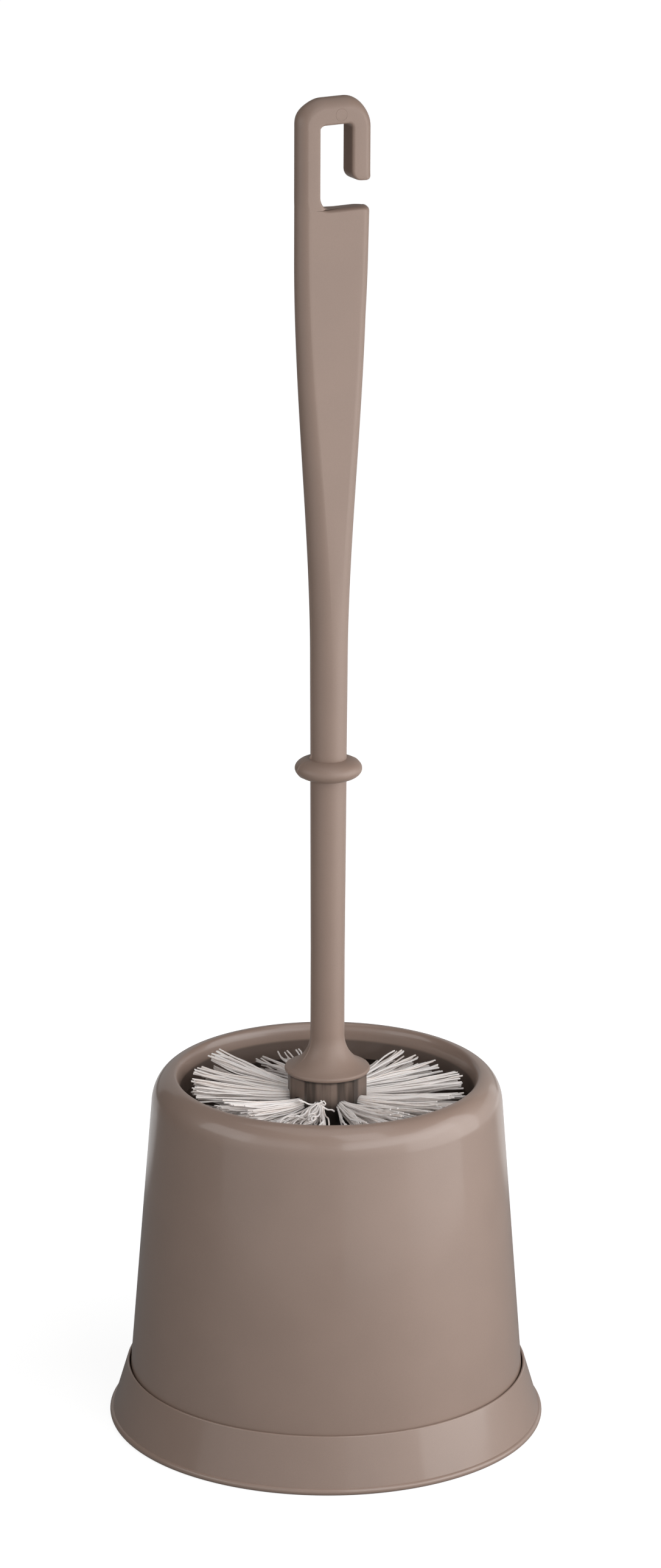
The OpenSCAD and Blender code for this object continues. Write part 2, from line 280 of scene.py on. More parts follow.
def lathe(outline, segments):
    """Vertices and faces of a closed outline turned about Z. Points on the axis become poles."""
    verts, rings = [], []
    for r, z in outline:
        if r < TINY:
            rings.append([len(verts)] * segments)
            verts.append((0, 0, z))
            continue
        rings.append(list(range(len(verts), len(verts) + segments)))
        turns = (2 * math.pi * i / segments for i in range(segments))
        verts.extend((r * math.cos(a), r * math.sin(a), z) for a in turns)
    faces = []
    for low, high in zip(rings, rings[1:] + rings[:1]):
        for i in range(segments):
            j = (i + 1) % segments
            corners = list(dict.fromkeys([low[i], low[j], high[j], high[i]]))
            if len(corners) > 2:
                faces.append(corners)
    return verts, faces


def skin(total, count):
    """Faces over a total of vertices in rings of count, with a cap at both ends."""
    faces = [
        (a + i, a + (i + 1) % count, a + count + (i + 1) % count, a + count + i)
        for a in range(0, total - count, count)
        for i in range(count)
    ]
    return faces + [tuple(range(count))[::-1], tuple(range(total - count, total))]


def loft(sections):
    """Vertices and faces through closed cross-sections, capped at both ends."""
    verts = [point for section in sections for point in section]
    return verts, skin(len(verts), len(sections[0]))


def join(shapes):
    """One shape from several, each of vertices, faces and tints."""
    faces, tints = [], []
    total = 0
    for verts, sides, tones in shapes:
        faces.extend(tuple(total + i for i in side) for side in sides)
        tints.extend(tones)
        total += len(verts)
    return np.concatenate([shape[0] for shape in shapes]), faces, tints


def new_object(name, data):
    """An object in the scene."""
    made = bpy.data.objects.new(name, data)
    bpy.context.scene.collection.objects.link(made)
    return made


def add_piece(name, shape, material, body, replaced=()):
    """Makes an object from vertices and faces, and lets it ride on a body."""
    verts, faces = shape
    mesh = bpy.data.meshes.new(name)
    mesh.from_pydata(verts, [], faces)
    mesh.validate()
    mesh.shade_smooth()
    mesh.set_sharp_from_angle(angle=SHARP_ANGLE)
    mesh.materials.append(material)
    piece = new_object(name, mesh)
    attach(piece, body)
    if replaced:
        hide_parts(*replaced)
    return piece


def add_moulding(name, shape, plastic, body, node):
    """Adds a moulded piece in place of its CAD node.

    Its normals are weighed by face area, so that flats stay flat beside rounded edges.
    """
    piece = add_piece(name, shape, plastic, body, [node])
    weighted = piece.modifiers.new("Weighted normals", "WEIGHTED_NORMAL")
    weighted.mode = "FACE_AREA"
    weighted.keep_sharp = True


# Node groups and materials


PLASTIC_IOR = 1.49
TONE_SPREAD = 0.04
GLOSS_SPREAD = 0.015
# Most values of a noise texture lie in the first range. The second gives it more contrast
NOISE_RANGE = (0.3, 0.7)
STREAK_RANGE = (0.35, 0.65)
# How fine the noise of streaks and marks is, and how far the core's streaks are drawn out
CORE_STREAKS = 420.0
BRISTLE_STREAKS = 900.0
WIRE_MARKS = 6000.0
CORE_STRETCH = 0.06
# Painted shade on the core: how dark it gets below its top, among the bristles, and the painted
# shadow right under the bell
DEPTH_FROM, DEPTH_FULL, DEPTH_SHADE = 3 * MM, 10 * MM, 0.12
BELL_SHADOW_FULL, BELL_SHADOW_END, BELL_SHADOW_LEVEL = 0.2 * MM, 1.1 * MM, 0.3


def set_inputs(tree, node, inputs):
    """Sets inputs of a node, by name or number, to values or to other nodes' outputs."""
    for key, value in inputs.items():
        if isinstance(value, bpy.types.NodeSocket):
            tree.links.new(value, node.inputs[key])
        else:
            node.inputs[key].default_value = value


def add_node(tree, kind, inputs=None, **settings):
    """The outputs of a new node with its settings and inputs."""
    node = tree.nodes.new(kind)
    for key, value in settings.items():
        setattr(node, key, value)
    set_inputs(tree, node, inputs or {})
    return node.outputs


def calculate(tree, operation, a, b=0.0):
    """The output of a math node."""
    return add_node(tree, "ShaderNodeMath", {0: a, 1: b}, operation=operation)[0]


def vector_math(tree, operation, a, b=(0, 0, 0)):
    """The outputs of a vector math node."""
    return add_node(tree, "ShaderNodeVectorMath", {0: a, 1: b}, operation=operation)


def remap(tree, value, from_low, from_high, to_low, to_high):
    """The output of a smooth map range node."""
    inputs = dict(enumerate((value, from_low, from_high, to_low, to_high)))
    return add_node(tree, "ShaderNodeMapRange", inputs, interpolation_type="SMOOTHSTEP")[0]


def noise(tree, place, scale, detail=2.0, roughness=0.5):
    """The output of a noise texture."""
    inputs = {"Vector": place, "Scale": scale, "Detail": detail, "Roughness": roughness}
    return add_node(tree, "ShaderNodeTexNoise", inputs)[0]


def blend_colours(tree, factor, low, high):
    """The output of a colour mix node."""
    return add_node(tree, "ShaderNodeMix", {0: factor, 6: low, 7: high}, data_type="RGBA")[2]


def bump(tree, height, strength, distance):
    """The normal of a bump node."""
    inputs = {"Height": height, "Strength": strength, "Distance": distance}
    return add_node(tree, "ShaderNodeBump", inputs)["Normal"]


def place_on(tree):
    """The place on the surface, in the object's own space."""
    return add_node(tree, "ShaderNodeTexCoord")["Object"]


def height_of(tree, place):
    """How high a place is."""
    return add_node(tree, "ShaderNodeSeparateXYZ", {"Vector": place})["Z"]


def moulded_grain_group():
    """Tone, gloss and height of a moulded surface with grain and flow patches, built once."""
    name = "Moulded grain"
    if name in bpy.data.node_groups:
        return bpy.data.node_groups[name]
    group = bpy.data.node_groups.new(name, "ShaderNodeTree")
    new_socket = group.interface.new_socket
    new_socket("Position", in_out="INPUT", socket_type="NodeSocketVector")
    for size in ("Grain Size", "Patch Size"):
        new_socket(size, in_out="INPUT", socket_type="NodeSocketFloat")
    for result in ("Tone", "Gloss", "Height"):
        new_socket(result, in_out="OUTPUT", socket_type="NodeSocketFloat")
    start = group.nodes.new("NodeGroupInput").outputs
    end = group.nodes.new("NodeGroupOutput")
    grain_scale = calculate(group, "DIVIDE", 1.0, start["Grain Size"])
    patch_scale = calculate(group, "DIVIDE", 1.0, start["Patch Size"])
    fine = noise(group, start["Position"], grain_scale, 3.0, 0.6)
    patches = noise(group, start["Position"], patch_scale)
    swirl = calculate(group, "MULTIPLY", patches, 0.5)
    speckle = calculate(group, "MULTIPLY", fine, 0.5)
    tone = remap(group, calculate(group, "ADD", swirl, speckle), *NOISE_RANGE, 0, 1)
    gloss = remap(group, patches, *NOISE_RANGE, 0, 1)
    set_inputs(group, end, {"Tone": tone, "Gloss": gloss, "Height": fine})
    return group


def named_material(name):
    """Turns a function that adds a shader's nodes into one that gives the whole material."""

    def wrap(add_nodes):
        def make(*values):
            if name not in bpy.data.materials:
                made = bpy.data.materials.new(name)
                made.use_nodes = True
                nodes = made.node_tree.nodes
                shader = next(node for node in nodes if node.type == "BSDF_PRINCIPLED")
                add_nodes(made.node_tree, shader, *values)
            return bpy.data.materials[name]

        return make

    return wrap


def tinted(base, factor=1.0):
    """A colour made lighter or darker by a factor, with full alpha."""
    return (*[min(1, channel * factor) for channel in base], 1)


def moulded_plastic(tree, shader, finish, base, roughness, skin=0.0, shade=None):
    """Plastic with a fine grain, faint flow patches and a share of smooth skin.

    The shade, where there is one, is a factor for its colour that changes over the surface:
    painted shade inside the cup, and on the core its streaks with painted shade.
    """
    grain = add_node(
        tree, "ShaderNodeGroup",
        {"Position": place_on(tree), "Grain Size": finish.grain, "Patch Size": finish.patch},
        node_tree=moulded_grain_group(),
    )
    tone = blend_colours(
        tree, grain["Tone"], tinted(base, 1 - TONE_SPREAD), tinted(base, 1 + TONE_SPREAD)
    )
    if shade is not None:
        inputs = {"Vector": tone, "Scale": shade}
        tone = add_node(tree, "ShaderNodeVectorMath", inputs, operation="SCALE")[0]
    gloss = remap(
        tree, grain["Gloss"], 0, 1, roughness - GLOSS_SPREAD, roughness + GLOSS_SPREAD
    )
    inputs = {
        "Base Color": tone,
        "Roughness": gloss,
        "Normal": bump(tree, grain["Height"], 1.0, finish.grain_depth),
        "IOR": PLASTIC_IOR,
        "Coat Weight": skin,
        "Coat Roughness": finish.skin_roughness,
    }
    set_inputs(tree, shader, inputs)


@named_material("Taupe plastic")
def handle_plastic(tree, shader, finish):
    """The handle's plastic."""
    moulded_plastic(tree, shader, finish, finish.plastic, finish.plastic_roughness)


def polished_plastic(tree, shader, finish, shade=None):
    """The same plastic with the smoother skin of cup and foot."""
    moulded_plastic(
        tree, shader, finish, finish.plastic, finish.plastic_roughness, finish.holder_skin, shade
    )


@named_material("Polished taupe plastic")
def foot_plastic(tree, shader, finish):
    """The foot's plastic."""
    polished_plastic(tree, shader, finish)


@named_material("Cup plastic")
def cup_plastic(tree, shader, finish, cup):
    """The foot's plastic, with painted shade on the skirt and the wall inside the cup."""
    place = place_on(tree)
    height = height_of(tree, place)
    level = vector_math(tree, "MULTIPLY", place, (1, 1, 0))["Vector"]
    leaned = calculate(tree, "MULTIPLY", height, cup_lean(cup))
    upright = calculate(tree, "ADD", vector_math(tree, "LENGTH", level)["Value"], leaned)
    # Painted shade: the wall inside the cup and the skirt below the lip are darkened
    middle = wall_radius(cup, 0) - cup.wall_thickness / 2
    within_wall = calculate(tree, "LESS_THAN", upright, middle)
    lip_z = SHELL_BOX[1].z - cup.lip_height
    below_lip = remap(tree, height, lip_z - MM, lip_z + 0.5 * MM, 1, 0)
    inside = calculate(tree, "MULTIPLY", within_wall, below_lip)
    shade = remap(tree, inside, 0, 1, 1, finish.inside_painted_shade)
    polished_plastic(tree, shader, finish, shade)


@named_material("Core plastic")
def core_plastic(tree, shader, finish):
    """Dark plastic with streaks down its facets, with a painted shadow right under the bell and
    painted shade far below it.
    """
    place = place_on(tree)
    height = height_of(tree, place)
    top = CORE_BOX[1].z
    stretched = vector_math(tree, "MULTIPLY", place, (1, 1, CORE_STRETCH))["Vector"]
    streaks = remap(tree, noise(tree, stretched, CORE_STREAKS), *STREAK_RANGE, 0.5, 1.5)
    # Painted shade deep below the top, and a painted shadow under the bell's lip
    depth = remap(tree, height, top - DEPTH_FULL, top - DEPTH_FROM, DEPTH_SHADE, 1)
    bell_shadow = remap(tree, height, top - BELL_SHADOW_END, top - BELL_SHADOW_FULL, 1, BELL_SHADOW_LEVEL)
    shade = calculate(tree, "MULTIPLY", calculate(tree, "MULTIPLY", streaks, depth), bell_shadow)
    moulded_plastic(tree, shader, finish, finish.core, finish.core_roughness, shade=shade)


@named_material("White bristle")
def bristle_finish(tree, shader, finish):
    """Off-white fibres with fine streaks, each with its own tint."""
    tint = add_node(tree, "ShaderNodeAttribute", attribute_name="tint")["Fac"]
    streaks = noise(tree, place_on(tree), BRISTLE_STREAKS)
    warmth = calculate(tree, "MULTIPLY", tint, remap(tree, streaks, *STREAK_RANGE, 0.6, 1))
    colours = tinted(finish.bristle), tinted(finish.bristle_shade)
    inputs = {
        "Base Color": blend_colours(tree, warmth, *colours),
        "Roughness": remap(tree, streaks, *NOISE_RANGE, 0.38, 0.5),
        "Normal": bump(tree, streaks, 0.3, 0.02 * MM),
    }
    set_inputs(tree, shader, inputs)


@named_material("Drawn wire")
def wire_finish(tree, shader, finish):
    """Drawn wire with fine marks."""
    marks = noise(tree, place_on(tree), WIRE_MARKS)
    colours = tinted(finish.wire, 0.85), tinted(finish.wire, 1.1)
    inputs = {
        "Base Color": blend_colours(tree, marks, *colours),
        "Roughness": remap(tree, marks, *NOISE_RANGE, 0.28, 0.42),
        "Metallic": 1,
    }
    set_inputs(tree, shader, inputs)


# Holder


def cup_lean(cup):
    """Tangent of the wall's lean, from the band's top edge to the rim's roll."""
    roll_base = SHELL_BOX[1].z - cup.roll_height
    return (cup.wall_low - cup.wall_top) / (roll_base - BASE_BOX[1].z)


def wall_radius(cup, z):
    """Outer radius of the wall at height z."""
    return cup.wall_top + (SHELL_BOX[1].z - cup.roll_height - z) * cup_lean(cup)


def cup_outline(cup):
    """The cup's outline: up the wall, over the rim, down the skirt and down inside."""
    lean = cup_lean(cup)
    slant = math.hypot(1, lean)
    thick = cup.wall_thickness
    top = SHELL_BOX[1].z
    bottom = SHELL_BOX[0].z
    roll_base = top - cup.roll_height
    reach = math.hypot(cup.roll_width, cup.roll_height * lean)
    crest_x = cup.wall_top - reach
    start = math.degrees(math.atan(cup.roll_height * lean / cup.roll_width))
    mouth = crest_x - cup.lip_width
    lip = (crest_x, top - cup.lip_height)
    skirt_z = lip[1] - cup.skirt
    outer = arc((crest_x, roll_base), cup.roll_width, cup.roll_height, start, 90, 28)
    inner_roll = arc(
        (crest_x, roll_base), cup.roll_width - thick, cup.roll_height - thick, 90, start, 20
    )
    foot_out = (wall_radius(cup, bottom), bottom)
    foot_in = (wall_radius(cup, bottom) - thick * slant, bottom)
    return (
        [foot_out]
        + straight(foot_out, outer[0], 14)
        + outer
        + arc(lip, cup.lip_width, cup.lip_height, 90, 180, 12)[1:]
        + [(mouth, skirt_z), (mouth + thick, skirt_z)]
        + arc(lip, cup.lip_width - thick, cup.lip_height - thick, 180, 90, 8)
        + inner_roll[1:]
        + straight(inner_roll[-1], foot_in, 14)
        + [foot_in]
    )


def foot_outline(foot, cup):
    """The foot's outline: underside, bead, flared band, collar and floor."""
    floor_top = foot.floor_lift + foot.floor_thickness
    band_h = BASE_BOX[1].z
    bead_x = BASE_BOX[1].x - foot.bead_radius
    edge = foot.band_edge / 2
    band_out = wall_radius(cup, band_h) + foot.band_gap + foot.band_edge
    inset = cup.wall_thickness * math.hypot(1, cup_lean(cup)) + foot.collar_clearance
    collar_top = floor_top + foot.collar_height
    bead = arc((bead_x, foot.bead_radius), foot.bead_radius, foot.bead_radius, -90, 90, 16)
    band_top = arc((band_out - edge, band_h - edge), edge, edge, 20, 180, 12)
    collar_low_x = wall_radius(cup, floor_top) - inset
    collar_top_x = wall_radius(cup, collar_top) - inset
    return (
        [(0, foot.floor_lift), (bead_x - foot.ring_width, foot.floor_lift)]
        + [(bead_x - foot.ring_width, 0)]
        + bead
        + straight(bead[-1], band_top[0], 8)
        + band_top
        + [(bead_x - foot.band_thickness, floor_top), (collar_low_x, floor_top)]
        + [(collar_top_x, collar_top), (collar_top_x - foot.collar_thickness, collar_top)]
        + [(collar_low_x - foot.collar_thickness, floor_top), (0, floor_top)]
    )


# Handle


class HandleShape:
    """Cross-sections of the handle, from the spigot to the hook's tip."""

    edge_steps, flat_steps, middle_steps = 15, 5, 24
    hook_flatness = 0.6
    spigot_chamfer = 0.5 * MM
    above_ring = 3 * MM
    # The sweep into the bell stops this many degrees short of its lip
    sweep_stop = 4
    # A nub on the parting line over the drip ring: its height in ridges, place and length
    nub_height, nub_place, nub_length = 5, 3.7 * MM, 0.6 * MM

    def __init__(self, s):
        self.s = s
        self.half_blade = s.blade_width / 2
        self.half = s.thickness / 2
        self.leg_x = self.half_blade + s.edge_lean
        self.hole_left = s.stem_width - self.half_blade
        self.hole_right = self.hole_left + s.hole_width
        self.hole_top = HANDLE_BOX[1].z - s.bar_thickness
        self.leg_width = self.leg_x - self.hole_right
        self.tip_z = s.ledge_height + s.gap
        self.slope = s.ledge_rise / s.hole_width

    def far_half(self, x0, x1, half, flatness, squared):
        """The far half of a cross-section's outline, from x1 to x0, as (x, y).

        Its edges are fully rounded, but a squared one at x1 has a flat side between small
        radii. The middle is flat at a flatness of 1, where it meets the edges in a crease,
        and it carries their curve on at a flatness of 0.
        """
        crease = self.s.crease
        rx = min(half, (x1 - x0) / 2 - TINY)
        bulge = (1 - math.cos(crease)) * (1 - flatness)
        ry = half / (math.cos(crease) + bulge)
        turns = [
            (math.pi / 2 - crease) * i / self.edge_steps for i in range(self.edge_steps + 1)
        ]
        right = [(x1 - rx + rx * math.cos(t), ry * math.sin(t)) for t in turns]
        left = [(x0 + x1 - x, y) for x, y in reversed(right)]
        if squared:
            right = self.squared_edge(x1, right[-1][1])
        middle = []
        for i in range(1, self.middle_steps):
            share = i / self.middle_steps
            y = right[-1][1] + ry * bulge * (1 - (2 * share - 1) ** 2)
            middle.append((mix(right[-1][0], left[0][0], share), y))
        return right + middle + left

    def squared_edge(self, x1, top):
        """A flat side at x1 and the small radius over it, with as many points as a round edge."""
        radius = self.s.hole_edge
        side = [(x1, (top - radius) * i / self.flat_steps) for i in range(self.flat_steps)]
        steps = self.edge_steps - self.flat_steps
        return side + arc((x1 - radius, top - radius), radius, radius, 0, 90, steps)

    def section(
        self, x, z, x0, x1, half, flatness=1.0, turn=0.0, slope=0.0, ridges=(0, 0),
        squared=False, inset=0.0,
    ):
        """A cross-section at (x, z), turned clockwise in the front view.

        The ridges are how far the parting line stands out on its right and left. The inset
        is how far front and back draw in beside the stem.
        """
        far = self.far_half(x0, x1, half, flatness, squared)
        if inset > 0:
            run = self.s.ledge_fillet
            far = [
                (u, y - min(y, inset * smooth((x + u - self.hole_left) / run))) for u, y in far
            ]
        width = self.s.parting_width
        drop = half - math.sqrt(half**2 - width**2)
        if max(ridges) > 0:
            far[0], far[-1] = (x1 + ridges[0], 0), (x0 - ridges[1], 0)
        far = [far[0], (x1 - drop, width), *far[1:-1], (x0 + drop, width), far[-1]]
        near = [(u, -y) for u, y in far[-2:0:-1]]
        turned = math.radians(turn)
        return [
            (x + u * math.cos(turned), y, z - u * math.sin(turned) + u * slope)
            for u, y in far + near
        ]

    def round_section(self, r, z, ridge=1.0):
        """A round cross-section of the shaft, ring, bell or spigot, with its parting line."""
        height = self.s.parting_ridge * ridge
        along = (z - self.s.ring_height - self.nub_place) / self.nub_length
        nub = self.nub_height * height * math.exp(-(along**2))
        return self.section(0, z, -r, r, r, 0, ridges=(height, height + nub))

    def turned_part(self):
        """Spigot, bell, shaft and drip ring."""
        s = self.s
        spigot_end = HANDLE_BOX[0].z
        lip_x = s.bell_radius - s.lip_thickness / 2
        sweep_end = math.degrees(
            math.acos((s.sweep_radius + s.waist_radius - lip_x) / s.sweep_radius)
        )
        sweep_z = s.bell_height + s.lip_thickness
        sweep_z += s.sweep_radius * math.sin(math.radians(sweep_end))
        rise = (s.ring_height - s.waist_height) / (s.blade_low - s.waist_height)
        ring_r = mix(s.waist_radius, s.shaft_radius, rise)
        lip = arc(
            (lip_x, s.bell_height + s.lip_thickness / 2),
            s.lip_thickness / 2, s.lip_thickness / 2, -90, 60, 12,
        )
        sweep = arc(
            (s.waist_radius + s.sweep_radius, sweep_z),
            s.sweep_radius, s.sweep_radius, 180 - self.sweep_stop + sweep_end, 180, 18,
        )
        ring = arc(
            (ring_r, s.ring_height), s.ring_radius - ring_r, s.ring_thickness / 2, -90, 90, 24
        )
        waist = (s.waist_radius, s.waist_height)
        above_ring = (ring_r, ring[-1][1] + self.above_ring)
        shaft_top = (s.shaft_radius, s.blade_low)
        spigot = [
            (s.spigot_radius - self.spigot_chamfer, spigot_end),
            (s.spigot_radius, spigot_end + self.spigot_chamfer),
            (s.spigot_radius, s.bell_height),
        ]
        body = (
            lip + sweep + straight(sweep[-1], waist, 4) + [waist]
            + straight(waist, ring[0], 6) + ring + straight(ring[-1], above_ring, 10)
            + [above_ring] + straight(above_ring, shaft_top, 4)
        )
        return [self.round_section(r, z, 0) for r, z in spigot] + [
            self.round_section(r, z) for r, z in body
        ]

    def lean(self, z):
        """How far the right edge leans out at height z."""
        start = self.s.blade_high - self.s.lean_run
        return self.s.edge_lean * min(1, max(0, (z - start) / (self.tip_z - start)))

    def half_thickness(self, z):
        """Half thickness of the blade at height z."""
        s = self.s
        thin = smooth((z - s.blade_low) / (s.ledge_height - s.blade_low))
        return mix(s.shaft_radius, self.half, thin)

    def blade_part(self):
        """The shaft flattening into the blade, up to the ledge's rounded corner.

        The parting line fades over the first third of the widening, and the middle is flat
        from half of it.
        """
        s = self.s
        top = s.ledge_height - s.ledge_corner - s.ledge_rise
        steps, sloped_steps = 60, 8
        sections = []
        for k in range(steps + 1):
            z = mix(s.blade_low, top, k / steps)
            wide = smooth((z - s.blade_low) / (s.blade_high - s.blade_low))
            left = mix(s.shaft_radius, self.half_blade, wide)
            height = s.parting_ridge * (1 - smooth(3 * wide))
            sections.append(
                self.section(
                    0, z, -left, left + self.lean(z), self.half_thickness(z),
                    smooth(2 * wide),
                    slope=self.slope * smooth((k - steps + sloped_steps) / sloped_steps),
                    ridges=(height, height),
                )
            )
        return sections

    def round_in(self, radius, height):
        """How far an edge of this radius has drawn in at a height above its end."""
        if height >= radius:
            return 0
        return radius - math.sqrt(radius**2 - (radius - height) ** 2)

    def closing(self, radius, steps):
        """Heights from the start of a rounded end to its top, counted from the top."""
        return [radius * (1 - math.sin(math.radians(90 * k / steps))) for k in range(steps + 1)]

    def ledge_part(self):
        """The ledge's rounded corner and the fillet between ledge and stem."""
        s = self.s
        sections = []
        for below in self.closing(s.ledge_corner, 8):
            z = s.ledge_height - below
            right = self.half_blade + self.lean(z) - self.round_in(s.ledge_corner, below)
            sections.append(
                self.section(
                    0, z, -self.half_blade, right, self.half, slope=self.slope,
                    inset=self.round_in(s.ledge_drop, below) * s.ledge_inset / s.ledge_drop,
                )
            )
        stem_x = self.hole_left - s.stem_width / 2
        stem_z = s.ledge_height + self.slope * (self.hole_left + s.ledge_fillet)
        steps = 10
        for k in range(steps + 1):
            turned = math.radians(90 * k / steps)
            sections.append(
                self.section(
                    stem_x, stem_z + s.ledge_fillet * (1 - math.cos(turned)),
                    -s.stem_width / 2, s.stem_width / 2 + s.ledge_fillet * (1 - math.sin(turned)),
                    self.half, mix(1, self.hook_flatness, k / steps), squared=True,
                    inset=s.ledge_inset * (1 - k / steps),
                )
            )
        return sections

    def turn_section(self, turn, first):
        """A cross-section where the hook turns around a corner of its hole."""
        s = self.s
        side = s.stem_width if first else self.leg_width
        width = mix(side, s.bar_thickness, smooth(turn / 90 if first else 2 - turn / 90))
        angle_now = math.radians(turn)
        bend = math.sin(2 * angle_now) ** 2
        if first:
            # The bend times the cosine is 1 / 2.6 at most
            width += bend * (s.corner_swell + 2.6 * s.shoulder * math.cos(2 * angle_now))
        else:
            width -= bend * s.corner_cut
        reach = s.hole_corner + width / 2
        x = self.hole_left + s.hole_corner if first else self.hole_right - s.hole_corner
        x -= reach * math.cos(angle_now)
        rise = s.bar_tilt * (x - self.hole_right) * math.sin(angle_now)
        return self.section(
            x, self.hole_top - s.hole_corner + rise + reach * math.sin(angle_now),
            -width / 2, width / 2, self.half, self.hook_flatness, turn=turn, squared=True,
        )

    def hook_part(self):
        """Stem, bar, leg and the rounded tip."""
        s = self.s
        steps = 22
        sections = [self.turn_section(90 * k / steps, True) for k in range(steps + 1)]
        sections += [self.turn_section(90 + 90 * k / steps, False) for k in range(steps + 1)]
        for above in self.closing(s.tip_radius, 9):
            outer = self.round_in(s.tip_edge, above)
            inner = self.round_in(s.tip_radius, above)
            sections.append(
                self.section(
                    self.leg_x - self.leg_width / 2, self.tip_z + above,
                    outer - self.leg_width / 2, self.leg_width / 2 - inner,
                    self.half - outer, self.hook_flatness, turn=180, squared=True,
                )
            )
        return sections

    def all_sections(self):
        """Every cross-section, from the spigot's end to the hook's tip."""
        return self.turned_part() + self.blade_part() + self.ledge_part() + self.hook_part()


# Bristles


BRISTLE_SIDES = 6
BRISTLE_STEPS = 10
# How unevenly the bristles aim, as shares of the fan, and are cut, in units of the trim
AIM_STRETCH, AIM_SCATTER = 0.12, 0.09
CUT_OFFSET, CUT_SPREAD, CUT_SHORT = -0.2, 0.5, 0.35
# Shape of their spread and lift along the length, their waves, thickness and tint
FAN_CURVE, LIFT_CURVE = 1.06, 1.5
WAVE_COUNTS, WAVE_SIZES = (0.6, 1.9), (0.2, 1.3)
THICKNESSES = (0.88, 1.1)
TINT_SHAPE = (1.2, 2.5)
STRAY_STEPS = 8
STRAY_TINT = 0.3
# Radius of the flat on the core's lower end, room under the end tufts, and their own seeds
FLAT_RADIUS = 2.8 * MM
END_CLEARANCE = 0.4 * MM
END_SEED = 100
# Bristles that lie by themselves, each through points given as an angle in degrees, and a
# radius and a height in millimetres
STRAYS = (
    ((90, 11, 100.2), (101.5, 20, 104.4), (93, 30, 102.2), (88, 40, 100.8)),
    ((54, 11, 100.2), (40.6, 28, 99.9), (43.7, 40, 98)),
    (
        (-152, 11.4, 100.6), (-147, 15.5, 103.3), (-141.2, 14.6, 102.7), (-136, 14, 102),
        (-128.9, 13.5, 102), (-122.1, 13.1, 102.5), (-118.3, 13.2, 103), (-115.9, 13.6, 102.5),
        (-117.2, 13.2, 101.9), (-120.6, 12.8, 102.2), (-122, 12.6, 102.9),
    ),
    (
        (-124, 12.4, 101.9), (-119.6, 13.6, 101.5), (-113.5, 13.6, 100.6),
        (-108.2, 13.7, 100.5), (-104.5, 13.4, 99.8),
    ),
)
# How far the tips of each tuft in the top row are bent upwards, in millimetres, and how many
# times as wavy it is
TOP_ROW_LIFT = (0.3, -6, -3.2, 3, 3.4, 4.3, 3, 3.8, 3, 2)
TOP_ROW_WAVE = (1, 1, 1.3, 1.3, 1, 1.2, 2.6, 1.8, 1, 1)


def fibre(path, across, radius, tint):
    """A capped tube along a path, with rings across two directions and one tint."""
    turns = np.arange(BRISTLE_SIDES) * 2 * math.pi / BRISTLE_SIDES
    ring = np.outer(np.cos(turns), across[0]) + np.outer(np.sin(turns), across[1])
    verts = (path[:, None, :] + radius * ring[None, :, :]).reshape(-1, 3)
    return verts, skin(len(verts), BRISTLE_SIDES), [tint] * len(verts)


def across_directions(axis):
    """Two directions square to the axis and to each other, the second one pointing up."""
    side = Vector((0, 0, 1)).cross(axis)
    if side.length < TINY:
        side = Vector((1, 0, 0))
    side.normalize()
    return np.array(side), np.array(axis.cross(side).normalized())


def tuft_shape(pose, spread, bristles, seed, lift=0.0, wave=1.0):
    """One tuft: bristles that leave a round socket and fan out in clumps to their cut tips.

    The pose is root, direction, reach and the radius that the tips are trimmed to, or none.
    """
    root, axis, reach, trim_radius = pose
    rng = np.random.default_rng(seed)
    side, up = across_directions(axis)
    root, along = np.array(root), np.array(axis)
    count = bristles.per_tuft
    turns = np.arange(count) * GOLDEN_ANGLE
    disc = np.stack([np.cos(turns), np.sin(turns)], 1)
    disc *= np.sqrt((np.arange(count) + 0.5) / count)[:, None]
    aims = disc * rng.normal(1, AIM_STRETCH, (count, 1)) + rng.normal(0, AIM_SCATTER, (count, 2))
    leaders = aims[rng.choice(count, min(count, bristles.clumps), replace=False)]
    nearest = np.argmin(((aims[:, None] - leaders[None]) ** 2).sum(2), 1)
    aims = mix(aims, leaders[nearest], bristles.clumping) * np.array(spread)
    steps = np.linspace(0, 1, BRISTLE_STEPS + 1)
    fibres = []
    for k in range(count):
        uneven = rng.normal(CUT_OFFSET, CUT_SPREAD) - rng.exponential(CUT_SHORT)
        cut = reach + uneven * bristles.trim
        if trim_radius:
            cut += math.sqrt(trim_radius**2 - aims[k, 0] ** 2) - trim_radius
        distance = mix(-bristles.embed, cut, steps)
        share = np.clip(distance / cut, 0, None)
        start = bristles.root_radius * disc[k]
        fan = start + (aims[k] - start) * share[:, None] ** FAN_CURVE
        waves = rng.uniform(*WAVE_COUNTS, 2)
        phases = rng.uniform(0, 2 * math.pi, 2)
        size = bristles.waviness * wave * rng.uniform(*WAVE_SIZES, 2)
        fan = fan + size * np.sin(2 * math.pi * np.outer(share, waves) + phases) * share[:, None]
        path = root + np.outer(distance, along) + fan[:, :1] * side + fan[:, 1:] * up
        path[:, 2] += lift * share**LIFT_CURVE
        radius = bristles.radius * rng.uniform(*THICKNESSES)
        fibres.append(fibre(path, (side, up), radius, rng.beta(*TINT_SHAPE)))
    return join(fibres)


def stray_shape(route, bristles):
    """One stray bristle: a smooth fibre through its points."""
    points = [
        np.array((r * MM * math.cos(math.radians(a)), r * MM * math.sin(math.radians(a)), z * MM))
        for a, r, z in route
    ]
    ends = [2 * points[0] - points[1], *points, 2 * points[-1] - points[-2]]
    path = []
    for before, start, end, after in zip(ends, ends[1:], ends[2:], ends[3:]):
        for t in np.arange(STRAY_STEPS) / STRAY_STEPS:
            path.append(
                start + 0.5 * t * (end - before)
                + t**2 * (before - 2.5 * start + 2 * end - 0.5 * after)
                + t**3 * (1.5 * (start - end) + 0.5 * (after - before))
            )
    path.append(points[-1])
    axis = Vector(points[-1] - points[0]).normalized()
    return fibre(np.array(path), across_directions(axis), bristles.radius, STRAY_TINT)


